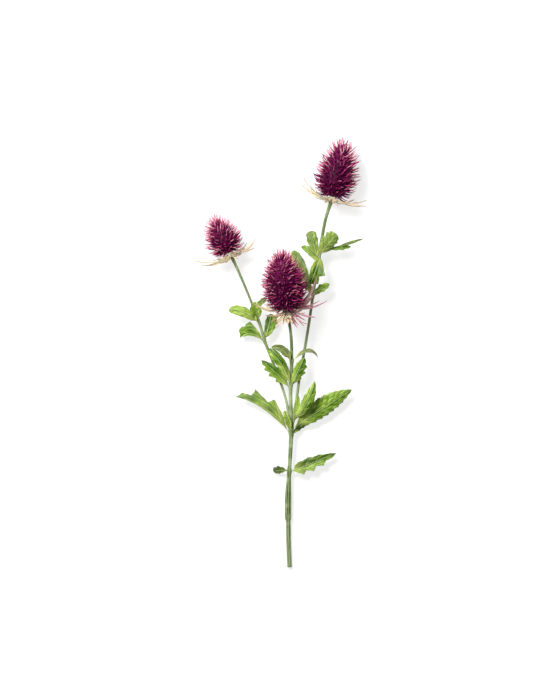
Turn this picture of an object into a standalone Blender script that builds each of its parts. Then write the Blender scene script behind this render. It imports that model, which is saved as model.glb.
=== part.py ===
"""A cut thistle spray that lies on a table: a forked stem, three spiny flower heads, the whorl of pale bracts
under each head, and the toothed leaves. Metres, +Z up. The stem runs along +Y from its cut foot."""

import math
import random
from typing import NamedTuple

import bmesh
import bpy
import numpy as np
from mathutils import Matrix, Vector

MM = 0.001
SPRAY_CENTRE = Vector((-11.6, 237.2, 0.0))  # middle of the whole spray, from the foot of the stem
GAP = 0.3  # clear space between one piece and the next, mm
GOLDEN_ANGLE = math.pi * (3 - math.sqrt(5))

GREEN_STEM = (0.20, 0.30, 0.08)
GREEN_LEAF = (0.20, 0.36, 0.05)
CREAM = (0.82, 0.68, 0.42)
BURGUNDY = (0.18, 0.01, 0.06)

# Stems: the centre line as (y, x, z) and the radius as (y, r), all in mm from the foot.
STEMS = {
    "front": {
        "line": [
            (0, -0.4, 2.5), (30, -1.5, 3.9), (90, -1.6, 7.2), (112, -0.4, 8.5), (135, 0.9, 9.9),
            (152, 1.4, 11.0), (190, 0.6, 13.8), (229, 1.8, 19.8), (256, 1.0, 27.0), (274, -1.4, 33.2),
            (283, -2.8, 36.6),
        ],
        "girth": [
            (0, 2.5), (51.5, 2.5), (52.5, 3.3), (76, 3.4), (98, 2.4), (107, 2.3), (113, 2.0), (140, 2.4),
            (156, 2.5), (175, 2.1), (229, 2.0), (262, 1.6), (277, 1.8), (283, 2.4),
        ],
    },
    "left": {
        "line": [
            (148, 0.2, 10.8), (166, -1.6, 11.6), (180, -3.4, 12.2), (205.7, -11.0, 13.2),
            (228.8, -19.8, 14.3), (249, -27.5, 15.2), (271.7, -34.4, 16.2), (287, -40.4, 16.8),
            (322, -54.8, 18.4), (343.5, -64.6, 19.3),
        ],
        "girth": [(148, 1.5), (228, 1.4), (251, 1.7), (272, 1.6), (296, 1.3), (334, 1.5), (343.5, 2.2)],
    },
    "right": {
        "line": [
            (148, 1.0, 10.8), (160, 3.2, 11.5), (182.6, 6.8, 12.5), (210, 10.6, 13.8), (242, 16.4, 15.4),
            (279.4, 22.4, 17.0), (298, 25.0, 17.8), (322.3, 28.6, 19.0), (343, 32.0, 20.0), (363, 35.2, 21.0),
            (384, 39.2, 22.0), (404.4, 45.6, 22.6),
        ],
        "girth": [(148, 1.6), (210, 1.5), (298, 1.6), (343, 1.8), (384, 1.7), (398, 1.9), (404.4, 2.5)],
    },
}
STEM_STEP = 13.0  # distance between the rings of a stem, mm

# Flower heads: the stem that carries each, how far it leans to the right and is lifted from the table in
# degrees, its size in mm, and the number of corners between which its cells are spanned.
HEADS = {
    "front": {
        "stem": "front", "lean": -7.0, "lift": 25.0,
        "radius": 16.8, "length": 60.0, "spine": 9.4, "cells": 190,
    },
    "top": {
        "stem": "right", "lean": 12.4, "lift": 0.0,
        "radius": 15.2, "length": 56.5, "spine": 10.4, "cells": 166,
    },
    "left": {
        "stem": "left", "lean": -26.0, "lift": 0.0,
        "radius": 12.4, "length": 36.5, "spine": 9.6, "cells": 126,
    },
}
EGG_TAPER = 0.32  # how much wider the head is towards its base
BARE_BASE = 3.5  # height of the spineless patch that the bracts cover, mm
SPINE_FOOT = 1.0  # radius of a spine where it leaves the head, mm
SPINE_RISE = (8.0, 25.0, 57.0)  # a spine's rise at the base, what it gains evenly and at the crown, degrees
CROWN_POWER = 8  # how closely that last gain keeps to the crown
SPINE_SCATTER = 0.12  # random lean of each spine, as a share of its length

CUP_HEIGHT = 3.0  # the small cup that the bracts grow from, mm
CUP_RADIUS = (3.0, 4.6)
BRACT_TWIST = 0.9  # turn of a bract about its own length from root to tip, radians
BRACT_THICK = 0.8
BRACT_SAG = 2.6  # how far a bract bellies towards the stem half way along, mm
BRACT_ROWS = 6
# The bracts of each whorl: the angle round the head (0 left, 90 away from the table, 180 right), how far the
# tip reaches from the stem, how far it rises towards the crown, and the width, in mm.
BRACTS = {
    "front": [
        (350, 38, 9, 2.2), (30, 29, 3, 2.2), (62, 32, -9, 2.2), (85, 18, -2, 2.0), (97, 21, -4, 2.0),
        (118, 36, -7, 3.2), (140, 39, -3, 2.4), (151, 23, 6, 2.0), (172, 45, 6, 2.2), (199, 41, 29, 5.4),
        (218, 32, 11, 2.4), (240, 24, 3, 2.0), (264, 22, 0, 2.0), (287, 23, 0, 2.0), (312, 26, 3, 2.0),
        (333, 30, 5, 2.2),
    ],
    "top": [
        (8, 36, 16, 2.2), (348, 38, 10, 2.2), (26, 31, 9, 2.4), (50, 22, 2, 2.0), (76, 16, -3, 2.0),
        (112, 22, -6, 2.2), (128, 24, -2, 2.0), (150, 26, 4, 2.0), (167, 39, -1, 2.2), (180, 38, 7, 2.0),
        (205, 28, 4, 2.0), (232, 24, 2, 2.0), (258, 22, 0, 2.0), (282, 22, 0, 2.0), (306, 25, 2, 2.0),
        (330, 30, 6, 2.2),
    ],
    "left": [
        (3, 41, 12, 2.2), (350, 39, 5, 2.2), (32, 30, -2, 2.0), (52, 24, -4, 2.0), (74, 16, -6, 2.0),
        (107, 18, -8, 2.2), (138, 20, 0, 2.0), (158, 26, -2, 2.0), (170, 28, -6, 2.0), (181, 34, 4, 2.0),
        (208, 24, 3, 2.0), (235, 21, 0, 2.0), (262, 19, 0, 2.0), (288, 19, 0, 2.0), (312, 23, 2, 2.0),
        (332, 30, 4, 2.0),
    ],
}
TABLE_CLEAR = 0.7  # lowest that the middle of a bract or a leaf may come, mm


class Leaf(NamedTuple):
    """A leaf: where it grows, how it runs, its two edges, and how its blade lies."""

    stem: str
    height: float  # along its stem
    side: float  # on which it leaves the stem, in degrees: 0 right, 90 up, 180 left
    middle: tuple  # a point half way along
    tip: tuple
    left: tuple  # half the width and the depth of the notches, on the left as seen from the root
    right: tuple
    teeth: int
    roll: float
    fold: float
    slant: float = 0.35  # how far the edge is drawn towards the tip, in half widths
    point: float = 0.75  # 0.75 for a pointed leaf and less for a blunt one
    belly: float = 0.44  # share of the blade's length at which it is widest
    lobe: float = 1.0  # 1 for plain teeth, and less for narrow lobes with a wide gap before each
    stalk: float = 0.0  # share of the length that is a bare stalk


LEAVES = {
    "leaf_foot_1": Leaf(
        "front", 106, 15, (24, 115.2, 11), (51, 125.8, 8), (8, 0.2), (11, 0.5), 4, 8, 0.2, slant=0.12,
        belly=0.4, lobe=0.7,
    ),
    "leaf_foot_2": Leaf(
        "front", 106.5, 170, (-9.4, 107.6, 8.5), (-18.4, 106.2, 4), (4.8, 0.25), (5.8, 0.3), 3, 20, 0.15,
        slant=0.2, point=0.5, belly=0.62, stalk=0.1,
    ),
    "leaf_fork_1": Leaf(
        "front", 154, 8, (36.7, 175.8, 13), (68, 196, 13), (13, 0.1), (10, 0.2), 9, -4, -0.14
    ),
    "leaf_fork_2": Leaf(
        "right", 163, 52, (18.4, 182.4, 24.5), (27.2, 205.3, 22), (6.4, 0.14), (7, 0.18), 5, 8, -0.24,
        belly=0.5,
    ),
    "leaf_fork_3": Leaf(
        "front", 149, 172, (-29, 177, 16), (-60, 188, 12), (2.6, 0.1), (15, 0.54), 3, -22, 0.2, slant=1,
        belly=0.38, lobe=0.7,
    ),
    "leaf_fork_4": Leaf(
        "right", 168, 105, (7.6, 178, 18), (8.8, 190, 19.5), (3.6, 0.15), (3.6, 0.15), 3, 20, 0.2, point=0.5
    ),
    "leaf_fork_5": Leaf(
        "front", 147, 340, (11.8, 155.4, 5.5), (20.6, 158.6, 3.5), (3.4, 0.2), (3.4, 0.3), 3, 0, 0.2,
        point=0.5,
    ),
    "leaf_fork_6": Leaf(
        "front", 152, 105, (-3.2, 164, 19), (-6, 173, 20), (3.8, 0.2), (3.8, 0.2), 3, 0, 0.25, point=0.5
    ),
    "leaf_front_1": Leaf(
        "front", 199, 190, (-16, 215.4, 16.5), (-31.6, 228.4, 14), (9.4, 0.5), (6.2, 0.25), 4, -6, 0.2,
        slant=0.5, lobe=0.85,
    ),
    "leaf_front_2": Leaf(
        "front", 204, 120, (-10.4, 226, 25), (-24.6, 240.4, 23), (6.2, 0.07), (5.8, 0.08), 4, 14, -0.15,
        point=0.45, belly=0.56,
    ),
    "leaf_front_3": Leaf(
        "front", 229, 150, (-8.2, 240.8, 29), (-20.2, 242.4, 26), (5, 0.1), (4.8, 0.12), 3, 22, 0.25,
        point=0.55, belly=0.4,
    ),
    "leaf_front_4": Leaf(
        "front", 228, 20, (19.2, 239, 26), (30.8, 231.5, 22), (2.6, 0.15), (2.6, 0.2), 3, 20, 0.3
    ),
    "leaf_front_5": Leaf(
        "front", 201, 30, (8.8, 216.4, 22), (16, 232, 23), (6.2, 0.12), (9, 0.36), 4, 10, -0.24, lobe=0.8,
        belly=0.48,
    ),
    "leaf_left_1": Leaf(
        "left", 271, 175, (-51.5, 280.2, 22.5), (-67.2, 283.2, 18), (4.8, 0.1), (7.8, 0.12), 4, 14, -0.12,
        point=0.42, belly=0.5,
    ),
    "leaf_left_2": Leaf(
        "left", 250, 180, (-43, 258, 13), (-55, 253.4, 8), (3.6, 0.2), (13, 0.4), 2, -8, 0.2, slant=0.85,
        point=1, belly=0.5, lobe=0.7,
    ),
    "leaf_left_3": Leaf(
        "left", 253, 30, (-23.9, 264.6, 14.5), (-20.6, 279.6, 9), (5.4, 0.12), (9, 0.18), 4, 10, -0.2,
        point=0.36, belly=0.66,
    ),
    "leaf_left_4": Leaf(
        "left", 275, 100, (-37.5, 283, 23), (-38.5, 292.5, 23), (7.4, 0.2), (7.4, 0.2), 3, -14, 0.2,
        point=0.45,
    ),
    "leaf_left_5": Leaf(
        "left", 286, 340, (-31, 293, 14), (-26, 298, 9), (3.6, 0.25), (3.6, 0.25), 3, 10, 0.2
    ),
    "leaf_right_1": Leaf(
        "right", 341, 165, (26, 356.5, 24), (23, 370.6, 22.5), (7.4, 0.22), (6.4, 0.2), 3, 0, -0.15,
        point=0.3, belly=0.66,
    ),
    "leaf_right_2": Leaf(
        "right", 337, 215, (21.2, 349, 15.5), (12.6, 353, 13), (4.1, 0.15), (4.2, 0.15), 3, 0, 0.15,
        point=0.5,
    ),
    "leaf_right_3": Leaf(
        "right", 346.5, 88, (42, 356.4, 27.5), (51.4, 366.6, 27), (11.4, 0.28), (7.8, 0.22), 4, -14, -0.14,
        point=0.36, belly=0.6,
    ),
    "leaf_right_4": Leaf(
        "right", 346.5, 20, (49.8, 351.2, 22), (67.4, 353.4, 18), (2.8, 0.1), (3.4, 0.35), 3, 10, 0.3,
        belly=0.55, stalk=0.3,
    ),
    "leaf_right_5": Leaf(
        "right", 341, 62, (28, 327.6, 25), (22.4, 312.4, 23), (13, 0.45), (6, 0.1), 2, -6, 0.2, slant=0.6,
        lobe=0.8, point=0.5, belly=0.4,
    ),
    "leaf_right_6": Leaf(
        "right", 300, 15, (32.6, 306, 21), (43.4, 312.4, 19), (5.2, 0.3), (4.8, 0.25), 3, 4, 0.25,
        point=0.6, belly=0.6,
    ),
    "leaf_right_7": Leaf(
        "right", 301, 200, (13.2, 323.5, 12.5), (3.6, 349.6, 9), (8.4, 0.1), (8.6, 0.1), 4, 6, 0.15,
        point=0.45, belly=0.6,
    ),
    "leaf_right_8": Leaf(
        "right", 348, 340, (58, 355.2, 16), (81.4, 362.6, 11), (1.9, 0.1), (2, 0.15), 3, 10, 0.25,
        stalk=0.42,
    ),
}
LEAF_THICK = 0.8
STALK_WIDTH = 2.4
TOOTHLESS = 0.1  # share of a blade's length before its first notch
TURN_SHARE = 0.2  # share of a leaf's length over which it turns to face up
TOOTH_PEAK = 0.62  # where a tooth's point stands between one notch and the next
EDGE_WAVE = 0.08  # ripple of the edge out of the blade, in half widths
LEAF_TIP = 0.3  # half the width left at the tip, mm
TIP_ROW = 0.96  # share of the length at which the tip begins


class Stem:
    """A smooth centre line x(y), z(y) through the knots, with a radius that runs straight between places."""

    def __init__(self, line, girth):
        self.y, self.x, self.z = np.array(line, float).T
        self.girth_y, self.girth = np.array(girth, float).T

    def smooth(self, values, y):
        """The cubic through the knots whose slope at each knot is the slope of its neighbours."""
        slopes = np.gradient(values, self.y)
        i = int(np.clip(np.searchsorted(self.y, y) - 1, 0, len(self.y) - 2))
        step = self.y[i + 1] - self.y[i]
        t = (y - self.y[i]) / step
        low = values[i] * (1 + 2 * t) + slopes[i] * t * step
        high = values[i + 1] * (3 - 2 * t) - slopes[i + 1] * (1 - t) * step
        return low * (1 - t) ** 2 + high * t**2

    def point(self, y):
        return Vector((self.smooth(self.x, y), y, self.smooth(self.z, y)))

    def radius(self, y):
        return float(np.interp(y, self.girth_y, self.girth))

    def direction(self, y):
        return (self.point(y + 0.5) - self.point(y - 0.5)).normalized()

    def stations(self):
        """Heights of the rings: evenly spaced, and one wherever the radius changes its slope."""
        even = np.linspace(self.y[0], self.y[-1], round((self.y[-1] - self.y[0]) / STEM_STEP) + 1)
        apart = [y for y in even if np.abs(self.girth_y - y).min() > STEM_STEP / 3]
        return sorted(apart + list(self.girth_y))


stems = {name: Stem(**shape) for name, shape in STEMS.items()}


def clear_scene():
    for old in list(bpy.data.objects):
        bpy.data.objects.remove(old)


def finish_of(name, colour, roughness):
    material = bpy.data.materials.new(name)
    material.use_nodes = True
    shader = material.node_tree.nodes["Principled BSDF"]
    shader.inputs["Base Color"].default_value = (*colour, 1)
    shader.inputs["Roughness"].default_value = roughness
    shader.inputs["Metallic"].default_value = 0
    return material


def new_object(name, data, collection, material=None):
    made = bpy.data.objects.new(name, data)
    if material:
        data.materials.append(material)
    collection.objects.link(made)
    return made


def applied(made):
    """The object's mesh with its modifiers, or its curve's bevel, made real and its doubles merged."""
    bpy.context.view_layer.update()
    evaluated = made.evaluated_get(bpy.context.evaluated_depsgraph_get())
    mesh = bpy.data.meshes.new_from_object(evaluated)
    bm = bmesh.new()
    bm.from_mesh(mesh)
    bmesh.ops.remove_doubles(bm, verts=bm.verts, dist=0.001 * MM)
    bm.to_mesh(mesh)
    bm.free()
    return mesh


def fuse(body, pieces, workshop):
    """Joins the pieces to the body by one union on their collection, and removes them."""
    joined = bpy.data.collections.new(body.name + "_pieces")
    workshop.children.link(joined)
    for piece in pieces:
        joined.objects.link(piece)
    union = body.modifiers.new("union", "BOOLEAN")
    union.operation = "UNION"
    union.operand_type = "COLLECTION"
    union.collection = joined
    union.solver = "MANIFOLD"
    whole = applied(body)
    body.modifiers.clear()
    body.data = whole
    for piece in pieces:
        bpy.data.objects.remove(piece)
    bpy.data.collections.remove(joined)


def stem_tube(name, stem, collection, material):
    """A round tube along the stem's centre line, 1 mm thick times each ring's radius in mm."""
    curve = bpy.data.curves.new(name, "CURVE")
    curve.dimensions = "3D"
    curve.bevel_depth = MM
    curve.bevel_resolution = 2
    curve.use_fill_caps = True
    heights = stem.stations()
    spline = curve.splines.new("POLY")
    spline.points.add(len(heights) - 1)
    for point, y in zip(spline.points, heights):
        point.co = (*(stem.point(y) * MM), 1)
        point.radius = stem.radius(y)
    tube = new_object(name, curve, collection, material)
    mesh = applied(tube)
    bpy.data.objects.remove(tube)
    return new_object(name, mesh, collection)


def make_stem(collection, workshop, spray, material):
    """The main stem with both branches grown into it at the fork."""
    main = stem_tube("stem", stems["front"], collection, material)
    branches = [stem_tube("branch_" + side, stems[side], workshop, material) for side in ("left", "right")]
    fuse(main, branches, workshop)
    main.parent = spray


def head_frame(head):
    """Where a head stands: its axis is local +Z, and local Y points away from the table."""
    lean, lift = math.radians(head["lean"]), math.radians(head["lift"])
    axis = Vector((math.sin(lean) * math.cos(lift), math.cos(lean) * math.cos(lift), math.sin(lift)))
    side = axis.cross(Vector((0, 0, 1))).normalized()
    up = side.cross(axis)
    stem = stems[head["stem"]]
    base = stem.point(stem.y[-1]) + axis * (CUP_HEIGHT + 3 * GAP)
    turn = Matrix((side, up, -axis)).transposed() @ Matrix.Rotation(math.pi, 3, "Y")
    return Matrix.Translation(base * MM) @ turn.to_4x4()


def egg_point(head, rise, turn):
    """A point of the head's egg: rise runs from 0 at the base to pi at the crown, turn goes round."""
    swell = math.sin(rise) * (1 + EGG_TAPER * math.cos(rise))
    height = head["length"] / 2 * (1 - math.cos(rise))
    out = head["radius"] * swell
    return Vector((out * math.cos(turn), out * math.sin(turn), height)) * MM


def spine_tip(head, foot, draw):
    """The tip of the spine that grows at this foot: it rises more steeply towards the crown."""
    low, even, late = SPINE_RISE
    share = min(1.0, foot.z / (head["length"] * MM))
    rise = math.radians(low + even * share + late * share**CROWN_POWER)
    outward = Vector((foot.x, foot.y, 0)).normalized()
    aim = outward * math.cos(rise) + Vector((0, 0, math.sin(rise)))
    stray = Vector([draw.uniform(-1, 1) * SPINE_SCATTER for _ in range(3)])
    return foot + (aim + stray) * head["spine"] * MM * draw.uniform(0.85, 1.05)


def make_head(name, head, collection, spray, material):
    """An egg of three-cornered cells spanned between the points of a golden-angle spiral. Each cell is drawn
    in to a small foot and its middle is pulled out to a spine. Spines that meet the table stop on it."""
    draw = random.Random(name)
    frame = head_frame(head)
    bm = bmesh.new()
    for k in range(head["cells"]):
        rise = math.acos(1 - 2 * (k + 0.5) / head["cells"])
        bm.verts.new(egg_point(head, rise, k * GOLDEN_ANGLE))
    bmesh.ops.convex_hull(bm, input=bm.verts)
    bmesh.ops.recalc_face_normals(bm, faces=bm.faces)
    cells = [face for face in bm.faces if face.calc_center_median().z > BARE_BASE * MM]
    bmesh.ops.inset_individual(bm, faces=cells, thickness=0.1 * MM)
    for cell in cells:
        middle = cell.calc_center_median()
        for corner in cell.verts:
            corner.co = middle + (corner.co - middle).normalized() * SPINE_FOOT * MM
    for tip in bmesh.ops.poke(bm, faces=cells)["verts"]:
        tip.co = spine_tip(head, tip.co.copy(), draw)
        above = frame @ tip.co
        above.z = max(above.z, 0.0)
        tip.co = frame.inverted() @ above
    mesh = bpy.data.meshes.new("head_" + name)
    bm.to_mesh(mesh)
    bm.free()
    made = new_object("head_" + name, mesh, collection, material)
    made.matrix_world = frame
    made.parent = spray


def above_table(point, back=0.0):
    """The point, eased up so that it never comes lower than the clear height, in mm. What it would have gone
    down is added, times back, to its way towards the foot of the stem."""
    spare = point.z - TABLE_CLEAR
    lifted = TABLE_CLEAR + 0.5 * (spare + math.sqrt(spare * spare + 1.0)) if spare < 4 else point.z
    return Vector((point.x, point.y - back * (lifted - point.z), lifted))


def blade(name, surface, rows, columns, thickness, collection, material):
    """A sheet whose points follow surface(row share, across) from edge to edge, given its thickness."""
    bm = bmesh.new()
    bmesh.ops.create_grid(bm, x_segments=columns, y_segments=len(rows) - 1, size=1)
    for vert in bm.verts:
        row = round((vert.co.y + 1) / 2 * (len(rows) - 1))
        vert.co = surface(rows[row], vert.co.x) * MM
    bmesh.ops.triangulate(bm, faces=bm.faces)
    mesh = bpy.data.meshes.new(name)
    bm.to_mesh(mesh)
    bm.free()
    made = new_object(name, mesh, collection, material)
    skin = made.modifiers.new("thickness", "SOLIDIFY")
    skin.thickness = thickness * MM
    skin.offset = 0
    return made


def bract_surface(frame, angle, reach, rise, width, drop):
    """A narrow strap that leaves the cup sideways, bellies towards the stem and ends at its reach and rise. A
    tip that rises curls up late, and one that hangs bends early. It twists about its own length."""
    late = 2.2 if rise > 0 else 1.4

    def surface(share, across):
        out = 2.2 + (reach - 2.2) * share
        sag = BRACT_SAG * math.sin(math.pi * share)
        along = -CUP_HEIGHT / 2 - GAP - drop - sag + rise * share**late
        half = width / 2 * (0.45 + 0.55 * math.sin(math.pi * (0.12 + 0.8 * share)))
        sideways = half * across * (1 if share < 1 else 0.3)
        flat = sideways * math.cos(BRACT_TWIST * share)
        local = Vector((
            out * math.cos(angle) - flat * math.sin(angle),
            out * math.sin(angle) + flat * math.cos(angle),
            along + sideways * math.sin(BRACT_TWIST * share),
        ))
        return above_table(frame @ (local * MM) / MM, 1.0)

    return surface


def make_bracts(name, head, collection, workshop, spray, material):
    """The cup under the head with its bracts fused to it."""
    frame = head_frame(head)
    bm = bmesh.new()
    low, high = (radius * MM for radius in CUP_RADIUS)
    bmesh.ops.create_cone(bm, cap_ends=True, segments=12, radius1=low, radius2=high, depth=CUP_HEIGHT * MM)
    bmesh.ops.translate(bm, verts=bm.verts, vec=(0, 0, -(CUP_HEIGHT / 2 + GAP) * MM))
    bmesh.ops.transform(bm, matrix=frame, verts=bm.verts)
    mesh = bpy.data.meshes.new("bracts_" + name)
    bm.to_mesh(mesh)
    bm.free()
    cup = new_object("bracts_" + name, mesh, collection, material)
    rows = np.linspace(0, 1, BRACT_ROWS)
    straps = []
    for k, (angle, reach, rise, width) in enumerate(BRACTS[name]):
        drop = 0.55 if k % 2 else -0.55
        surface = bract_surface(frame, math.radians(angle), reach, rise, width, drop)
        straps.append(blade(f"bract_{name}_{k}", surface, rows, 1, BRACT_THICK, workshop, material))
    for strap in straps:
        strap.data = applied(strap)
        strap.modifiers.clear()
    fuse(cup, straps, workshop)
    cup.parent = spray


def tooth_rows(leaf):
    """Shares of a leaf's length where its outline turns: the stalk, each notch and each tooth, and the tip. A
    narrow lobe has two rows more."""
    pitch = (1 - TOOTHLESS) / leaf.teeth
    parts = (0, TOOTH_PEAK) if leaf.lobe == 1 else (0, 0.38, TOOTH_PEAK, 0.82)
    turns = [TOOTHLESS + pitch * (k + part) for k in range(leaf.teeth) for part in parts]
    turns = [turn for turn in turns if turn < TIP_ROW - 0.02]
    blade_rows = [0.0, *turns, TIP_ROW, 1.0]
    rows = [leaf.stalk + (1 - leaf.stalk) * row for row in blade_rows]
    return [0.0, *rows] if leaf.stalk else rows


def leaf_surface(leaf):
    """A toothed blade on a curve through its root, a middle point and its tip. It starts flat round the stem,
    turns to face up and a little to one side by its roll, and is folded along its midrib, up or down."""
    stem = stems[leaf.stem]
    side = math.radians(leaf.side)
    outward = Vector((math.cos(side), 0, math.sin(side)))
    grain = stem.direction(leaf.height)
    outward = (outward - grain * outward.dot(grain)).normalized()
    root = stem.point(leaf.height) + outward * (stem.radius(leaf.height) + GAP + LEAF_THICK / 2)
    middle, tip = Vector(leaf.middle), Vector(leaf.tip)
    chord = (tip - root).normalized()
    facing = Matrix.Rotation(math.radians(leaf.roll), 3, chord) @ Vector((0, 0, 1))
    spread = chord.cross(facing).normalized()
    clasp = outward.cross(grain)
    clasp = clasp if clasp.dot(spread) > 0 else -clasp

    def notch(share):
        """0 on the point of a tooth and 1 in the notch before it."""
        place = max(0.0, share - TOOTHLESS) / (1 - TOOTHLESS) * leaf.teeth % 1
        saw = 1 - place / TOOTH_PEAK if place < TOOTH_PEAK else (place - TOOTH_PEAK) / (1 - TOOTH_PEAK)
        return max(saw, 0.0) ** leaf.lobe

    def half_width(share, edge):
        width, depth = edge
        along = max(0.0, share - leaf.stalk) / (1 - leaf.stalk)
        skew = math.log(0.5) / math.log(leaf.belly)
        swell = math.sin(math.pi * along**skew) ** leaf.point if 0 < along < 1 else 0.0
        return max(width * swell * (1 - depth * notch(along)), STALK_WIDTH / 2 * (1 - share), LEAF_TIP)

    def surface(share, across):
        rest = 1 - share
        centre = root * rest * (rest - share) + middle * 4 * share * rest + tip * share * (share - rest)
        forward = (root * (4 * share - 3) + middle * (4 - 8 * share) + tip * (4 * share - 1)).normalized()
        turned = min(1.0, share / TURN_SHARE)
        turned = turned * turned * (3 - 2 * turned)
        sideways = clasp.lerp(spread, turned)
        sideways = (sideways - forward * sideways.dot(forward)).normalized()
        upward = sideways.cross(forward)
        half = half_width(share, leaf.right if across > 0 else leaf.left)
        ripple = EDGE_WAVE * math.sin(math.pi * leaf.teeth * share + across) * half
        lift = (leaf.fold * half + ripple) * abs(across) * turned
        slant = leaf.slant * half * abs(across) * turned * (1 - share**6)
        return above_table(centre + sideways * half * across + upward * lift + forward * slant)

    return surface


def make_leaves(collection, spray, material):
    for name, leaf in LEAVES.items():
        made = blade(name, leaf_surface(leaf), tooth_rows(leaf), 2, LEAF_THICK, collection, material)
        made.parent = spray


def main():
    clear_scene()
    parts = bpy.data.collections.new("thistle_spray")
    workshop = bpy.data.collections.new("workshop")
    bpy.context.scene.collection.children.link(parts)
    bpy.context.scene.collection.children.link(workshop)
    spray = bpy.data.objects.new("spray", None)
    parts.objects.link(spray)
    stem_green = finish_of("stem_green", GREEN_STEM, 0.6)
    leaf_green = finish_of("leaf_green", GREEN_LEAF, 0.55)
    bract_cream = finish_of("bract_cream", CREAM, 0.6)
    head_burgundy = finish_of("head_burgundy", BURGUNDY, 0.5)
    make_stem(parts, workshop, spray, stem_green)
    for name, head in HEADS.items():
        make_head(name, head, parts, spray, head_burgundy)
        make_bracts(name, head, parts, workshop, spray, bract_cream)
    make_leaves(parts, spray, leaf_green)
    spray.location = -SPRAY_CENTRE * MM


main()
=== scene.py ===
# %% [markdown]
# This is a cut thistle spray that lies on a pale table: one green stem that forks into three, a spiny
# burgundy head at each end, a whorl of thin cream bracts under every head, and toothed leaves where the
# stems branch. The solids of the spray are loaded first. They say where everything is, and each one is then
# dressed with a finer surface that is worked out from the same sizes.

# %% The frame that everything sits in
import math
from typing import NamedTuple

import bmesh
import bpy
import numpy as np
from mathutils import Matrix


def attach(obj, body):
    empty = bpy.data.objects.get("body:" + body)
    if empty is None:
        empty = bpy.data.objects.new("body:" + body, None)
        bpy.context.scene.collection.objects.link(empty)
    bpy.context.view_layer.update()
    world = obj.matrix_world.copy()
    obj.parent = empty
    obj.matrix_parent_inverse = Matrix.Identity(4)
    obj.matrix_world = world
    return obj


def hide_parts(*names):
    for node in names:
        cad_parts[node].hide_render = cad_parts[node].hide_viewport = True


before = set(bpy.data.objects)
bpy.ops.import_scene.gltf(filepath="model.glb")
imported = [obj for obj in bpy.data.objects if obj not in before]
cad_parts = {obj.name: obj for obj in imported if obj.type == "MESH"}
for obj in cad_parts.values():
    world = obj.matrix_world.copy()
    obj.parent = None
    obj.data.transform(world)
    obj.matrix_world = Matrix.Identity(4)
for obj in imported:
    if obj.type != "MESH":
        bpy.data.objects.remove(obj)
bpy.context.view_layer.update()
scene = bpy.context.scene
print("solids:", len(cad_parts))

# %% [markdown]
# All sizes are in millimetres from the cut foot of the stem, as a botanist would measure them with a ruler
# laid beside it: x to the right, y up the stem, z up from the table. One vector moves them into the frame.
# The numbers are those of the solids, so that every finer surface lands on the solid that it stands for.

# %% Stems
MM = 0.001
FOOT = np.array([11.6, -237.2, 0.0])  # the foot of the stem in the frame, mm
GAP = 0.3

STEMS = {
    "front": {
        "line": [
            (0, -0.4, 2.5), (30, -1.5, 3.9), (90, -1.6, 7.2), (112, -0.4, 8.5), (135, 0.9, 9.9),
            (152, 1.4, 11.0), (190, 0.6, 13.8), (229, 1.8, 19.8), (256, 1.0, 27.0), (274, -1.4, 33.2),
            (283, -2.8, 36.6),
        ],
        "girth": [
            (0, 2.5), (51.5, 2.5), (52.5, 3.3), (76, 3.4), (98, 2.4), (107, 2.3), (113, 2.0), (140, 2.4),
            (156, 2.5), (175, 2.1), (229, 2.0), (262, 1.6), (277, 1.8), (283, 2.4),
        ],
    },
    "left": {
        "line": [
            (148, 0.2, 10.8), (166, -1.6, 11.6), (180, -3.4, 12.2), (205.7, -11.0, 13.2),
            (228.8, -19.8, 14.3), (249, -27.5, 15.2), (271.7, -34.4, 16.2), (287, -40.4, 16.8),
            (322, -54.8, 18.4), (343.5, -64.6, 19.3),
        ],
        "girth": [(148, 1.5), (228, 1.4), (251, 1.7), (272, 1.6), (296, 1.3), (334, 1.5), (343.5, 2.2)],
    },
    "right": {
        "line": [
            (148, 1.0, 10.8), (160, 3.2, 11.5), (182.6, 6.8, 12.5), (210, 10.6, 13.8), (242, 16.4, 15.4),
            (279.4, 22.4, 17.0), (298, 25.0, 17.8), (322.3, 28.6, 19.0), (343, 32.0, 20.0), (363, 35.2, 21.0),
            (384, 39.2, 22.0), (404.4, 45.6, 22.6),
        ],
        "girth": [(148, 1.6), (210, 1.5), (298, 1.6), (343, 1.8), (384, 1.7), (398, 1.9), (404.4, 2.5)],
    },
}

# %% Heads and whorls
HEADS = {
    "front": {"stem": "front", "lean": -7.0, "lift": 25.0, "radius": 16.8, "length": 60.0, "spine": 9.4},
    "top": {"stem": "right", "lean": 12.4, "lift": 0.0, "radius": 15.2, "length": 56.5, "spine": 10.4},
    "left": {"stem": "left", "lean": -26.0, "lift": 0.0, "radius": 12.4, "length": 36.5, "spine": 9.6},
}
EGG_TAPER = 0.32  # how much wider a head is towards its base
BARE_BASE = 1.5  # height of the spineless patch that the bracts cover
CUP_HEIGHT = 3.0
CUP_RADIUS = (3.0, 4.6)

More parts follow.
